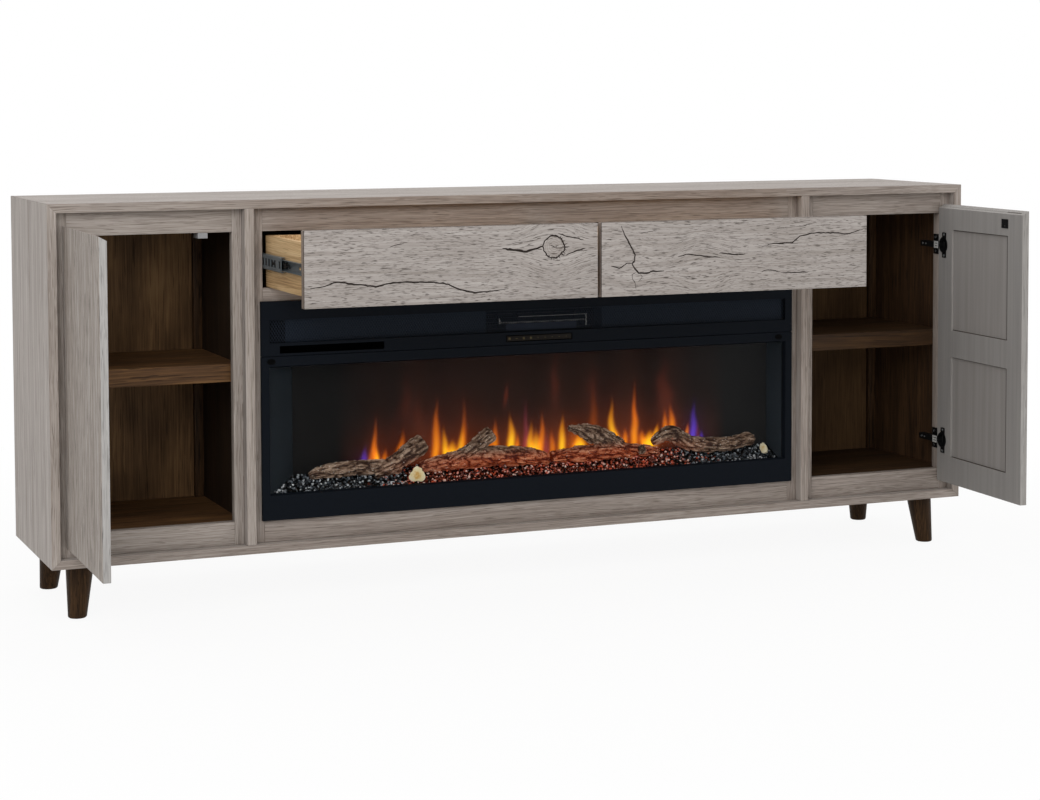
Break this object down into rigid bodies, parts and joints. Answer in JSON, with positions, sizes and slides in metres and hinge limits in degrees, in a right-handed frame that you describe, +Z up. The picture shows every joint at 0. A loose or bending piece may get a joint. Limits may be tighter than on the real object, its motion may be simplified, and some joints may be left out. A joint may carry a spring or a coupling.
{
  "type": "tv stand",
  "caption": "Long low media console in weathered grey wood, with side bays behind hinged doors, drawers on telescopic slides over an electric fireplace insert, and splayed turned legs.",
  "frame": {"origin": "on the floor, at the middle of the bounding box with the doors open and the drawers out", "axes": "+X to the viewer's right along the console, +Y from the front to the back, +Z up"},
  "size_m": [2.108, 0.7351, 0.8357],
  "materials": {
    "black_steel": "black painted steel, satin",
    "blower_plastic": "black plastic",
    "catch_plastic": "grey-white plastic",
    "charred_log": "moulded logs and crystal embers, glossy speckles",
    "clear_glass": "clear flat glass",
    "dark_walnut": "dark walnut grain, matte",
    "drawer_pine": "pale pine, matte",
    "flame_screen": "dark translucent acrylic",
    "heater_steel": "bare steel",
    "insert_enamel": "blue-black satin enamel",
    "leg_stain": "dark brown stained wood, satin",
    "slide_steel": "zinc-plated sheet steel",
    "spindle_steel": "bright polished tabs",
    "weathered_front": "lighter weathered grey wood with dark cracks, matte",
    "weathered_oak": "weathered grey-brown wood grain, matte"
  },
  "bodies": {
    "console": {"back_panel": "dark_walnut", "base_panel": "weathered_oak", "centre_frame": "weathered_oak", "drawer_deck": "dark_walnut", "drawer_divider": "dark_walnut", "flame_screen": "flame_screen", "front_left_leg": "leg_stain", "front_right_leg": "leg_stain", "glass_frame": "insert_enamel", "glass_pane": "clear_glass", "heater_outlet": "heater_steel", "insert_housing": "black_steel", "left_bay_floor": "dark_walnut", "left_bay_frame": "weathered_oak", "left_catch": "catch_plastic", "left_inner_slide_cabinet_member": "slide_steel", "left_lower_hinge_arm": "black_steel", "left_outer_slide_cabinet_member": "slide_steel", "left_partition": "weathered_oak", "left_shelf": "dark_walnut", "left_side_panel": "weathered_oak", "left_upper_hinge_arm": "black_steel", "log_set": "charred_log", "rear_left_leg": "leg_stain", "rear_right_leg": "leg_stain", "right_bay_floor": "dark_walnut", "right_bay_frame": "weathered_oak", "right_catch": "catch_plastic", "right_inner_slide_cabinet_member": "slide_steel", "right_lower_hinge_arm": "black_steel", "right_outer_slide_cabinet_member": "slide_steel", "right_partition": "weathered_oak", "right_shelf": "dark_walnut", "right_side_panel": "weathered_oak", "right_upper_hinge_arm": "black_steel", "top_panel": "weathered_oak", "vent_fascia": "insert_enamel", "vent_grille": "black_steel"},
    "blower": {"blower_wheel": "blower_plastic"},
    "flame_spindle": {"flame_spindle": "spindle_steel"},
    "left_door": {"left_door": "weathered_front", "left_lower_hinge_cup": "black_steel", "left_strike": "black_steel", "left_upper_hinge_cup": "black_steel"},
    "left_drawer": {"left_drawer_box": "drawer_pine", "left_drawer_front": "weathered_front", "left_inner_slide_drawer_member": "slide_steel", "left_outer_slide_drawer_member": "slide_steel"},
    "left_slide_middle": {"left_inner_slide_middle_member": "slide_steel", "left_outer_slide_middle_member": "slide_steel"},
    "right_door": {"right_door": "weathered_front", "right_lower_hinge_cup": "black_steel", "right_strike": "black_steel", "right_upper_hinge_cup": "black_steel"},
    "right_drawer": {"right_drawer_box": "drawer_pine", "right_drawer_front": "weathered_front", "right_inner_slide_drawer_member": "slide_steel", "right_outer_slide_drawer_member": "slide_steel"},
    "right_slide_middle": {"right_inner_slide_middle_member": "slide_steel", "right_outer_slide_middle_member": "slide_steel"}
  },
  "joints": [
    {"name": "left_door_hinge", "type": "hinge", "parent": "console", "child": "left_door", "pos_m": [-1.0145, -0.01745, 0.47015], "axis": [0, 0, -1], "range_deg": [-90.94, 4.06]},
    {"name": "right_door_hinge", "type": "hinge", "parent": "console", "child": "right_door", "pos_m": [1.0145, -0.01745, 0.47015], "axis": [0, 0, 1], "range_deg": [-87.08, 7.92]},
    {"name": "left_drawer_slide", "type": "slide", "parent": "console", "child": "left_drawer", "axis": [0, -1, 0], "range_m": [-0.303, 0]},
    {"name": "left_middle_slide", "type": "slide", "parent": "console", "child": "left_slide_middle", "axis": [0, -1, 0], "range_m": [-0.1515, 0]},
    {"name": "right_drawer_slide", "type": "slide", "parent": "console", "child": "right_drawer", "axis": [0, -1, 0], "range_m": [-0.303, 0]},
    {"name": "right_middle_slide", "type": "slide", "parent": "console", "child": "right_slide_middle", "axis": [0, -1, 0], "range_m": [-0.1515, 0]},
    {"name": "blower_spin", "type": "hinge", "parent": "console", "child": "blower", "pos_m": [0, 0.08105, 0.55805], "axis": [1, 0, 0], "continuous": true},
    {"name": "flame_spindle_spin", "type": "hinge", "parent": "console", "child": "flame_spindle", "pos_m": [0, 0.09105, 0.2307], "axis": [1, 0, 0], "continuous": true}
  ],
  "couplings": [
    {"joint": "left_middle_slide", "follows": "left_drawer_slide", "ratio": 0.5},
    {"joint": "right_middle_slide", "follows": "right_drawer_slide", "ratio": 0.5}
  ]
}
